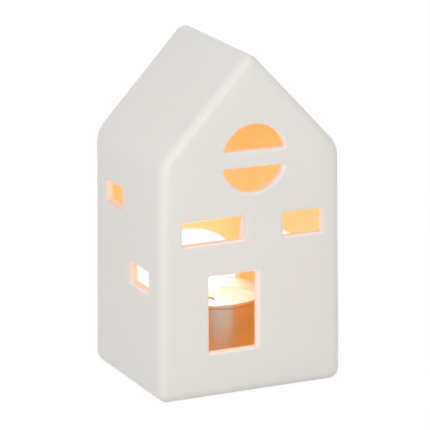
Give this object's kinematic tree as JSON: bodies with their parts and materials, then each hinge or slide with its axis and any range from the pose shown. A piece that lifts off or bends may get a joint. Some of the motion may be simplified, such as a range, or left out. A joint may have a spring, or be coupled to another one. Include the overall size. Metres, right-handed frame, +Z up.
{
  "type": "ceramic christmas house",
  "caption": "White glazed ceramic house with cut-out windows and a door, lit from inside by a tealight that slides in through an arch in its back wall.",
  "frame": {"origin": "on the table, under the middle of the house", "axes": "+Z up; -Y out of the front wall with the door and the round window; +Y out of the back wall with the arch; +X to the right seen from the front"},
  "size_m": [0.072, 0.0594, 0.1232],
  "materials": {
    "white_glaze": "warm white glaze, soft gloss",
    "cup_aluminium": "thin pressed sheet, satin",
    "candle_wax": "white candle wax, molten and wet on top",
    "tab_steel": "plain tinned sheet",
    "wick_cotton": "braided cotton, charred at the tip"
  },
  "bodies": {
    "house": {"house_shell": "white_glaze"},
    "tealight": {"tealight_cup": "cup_aluminium", "tealight_wax": "candle_wax", "wick_tab": "tab_steel", "wick": "wick_cotton"}
  },
  "joints": [
    {"name": "tealight_slide", "type": "slide", "parent": "house", "child": "tealight", "axis": [0, 1, 0], "range_m": [0, 0.055]}
  ]
}
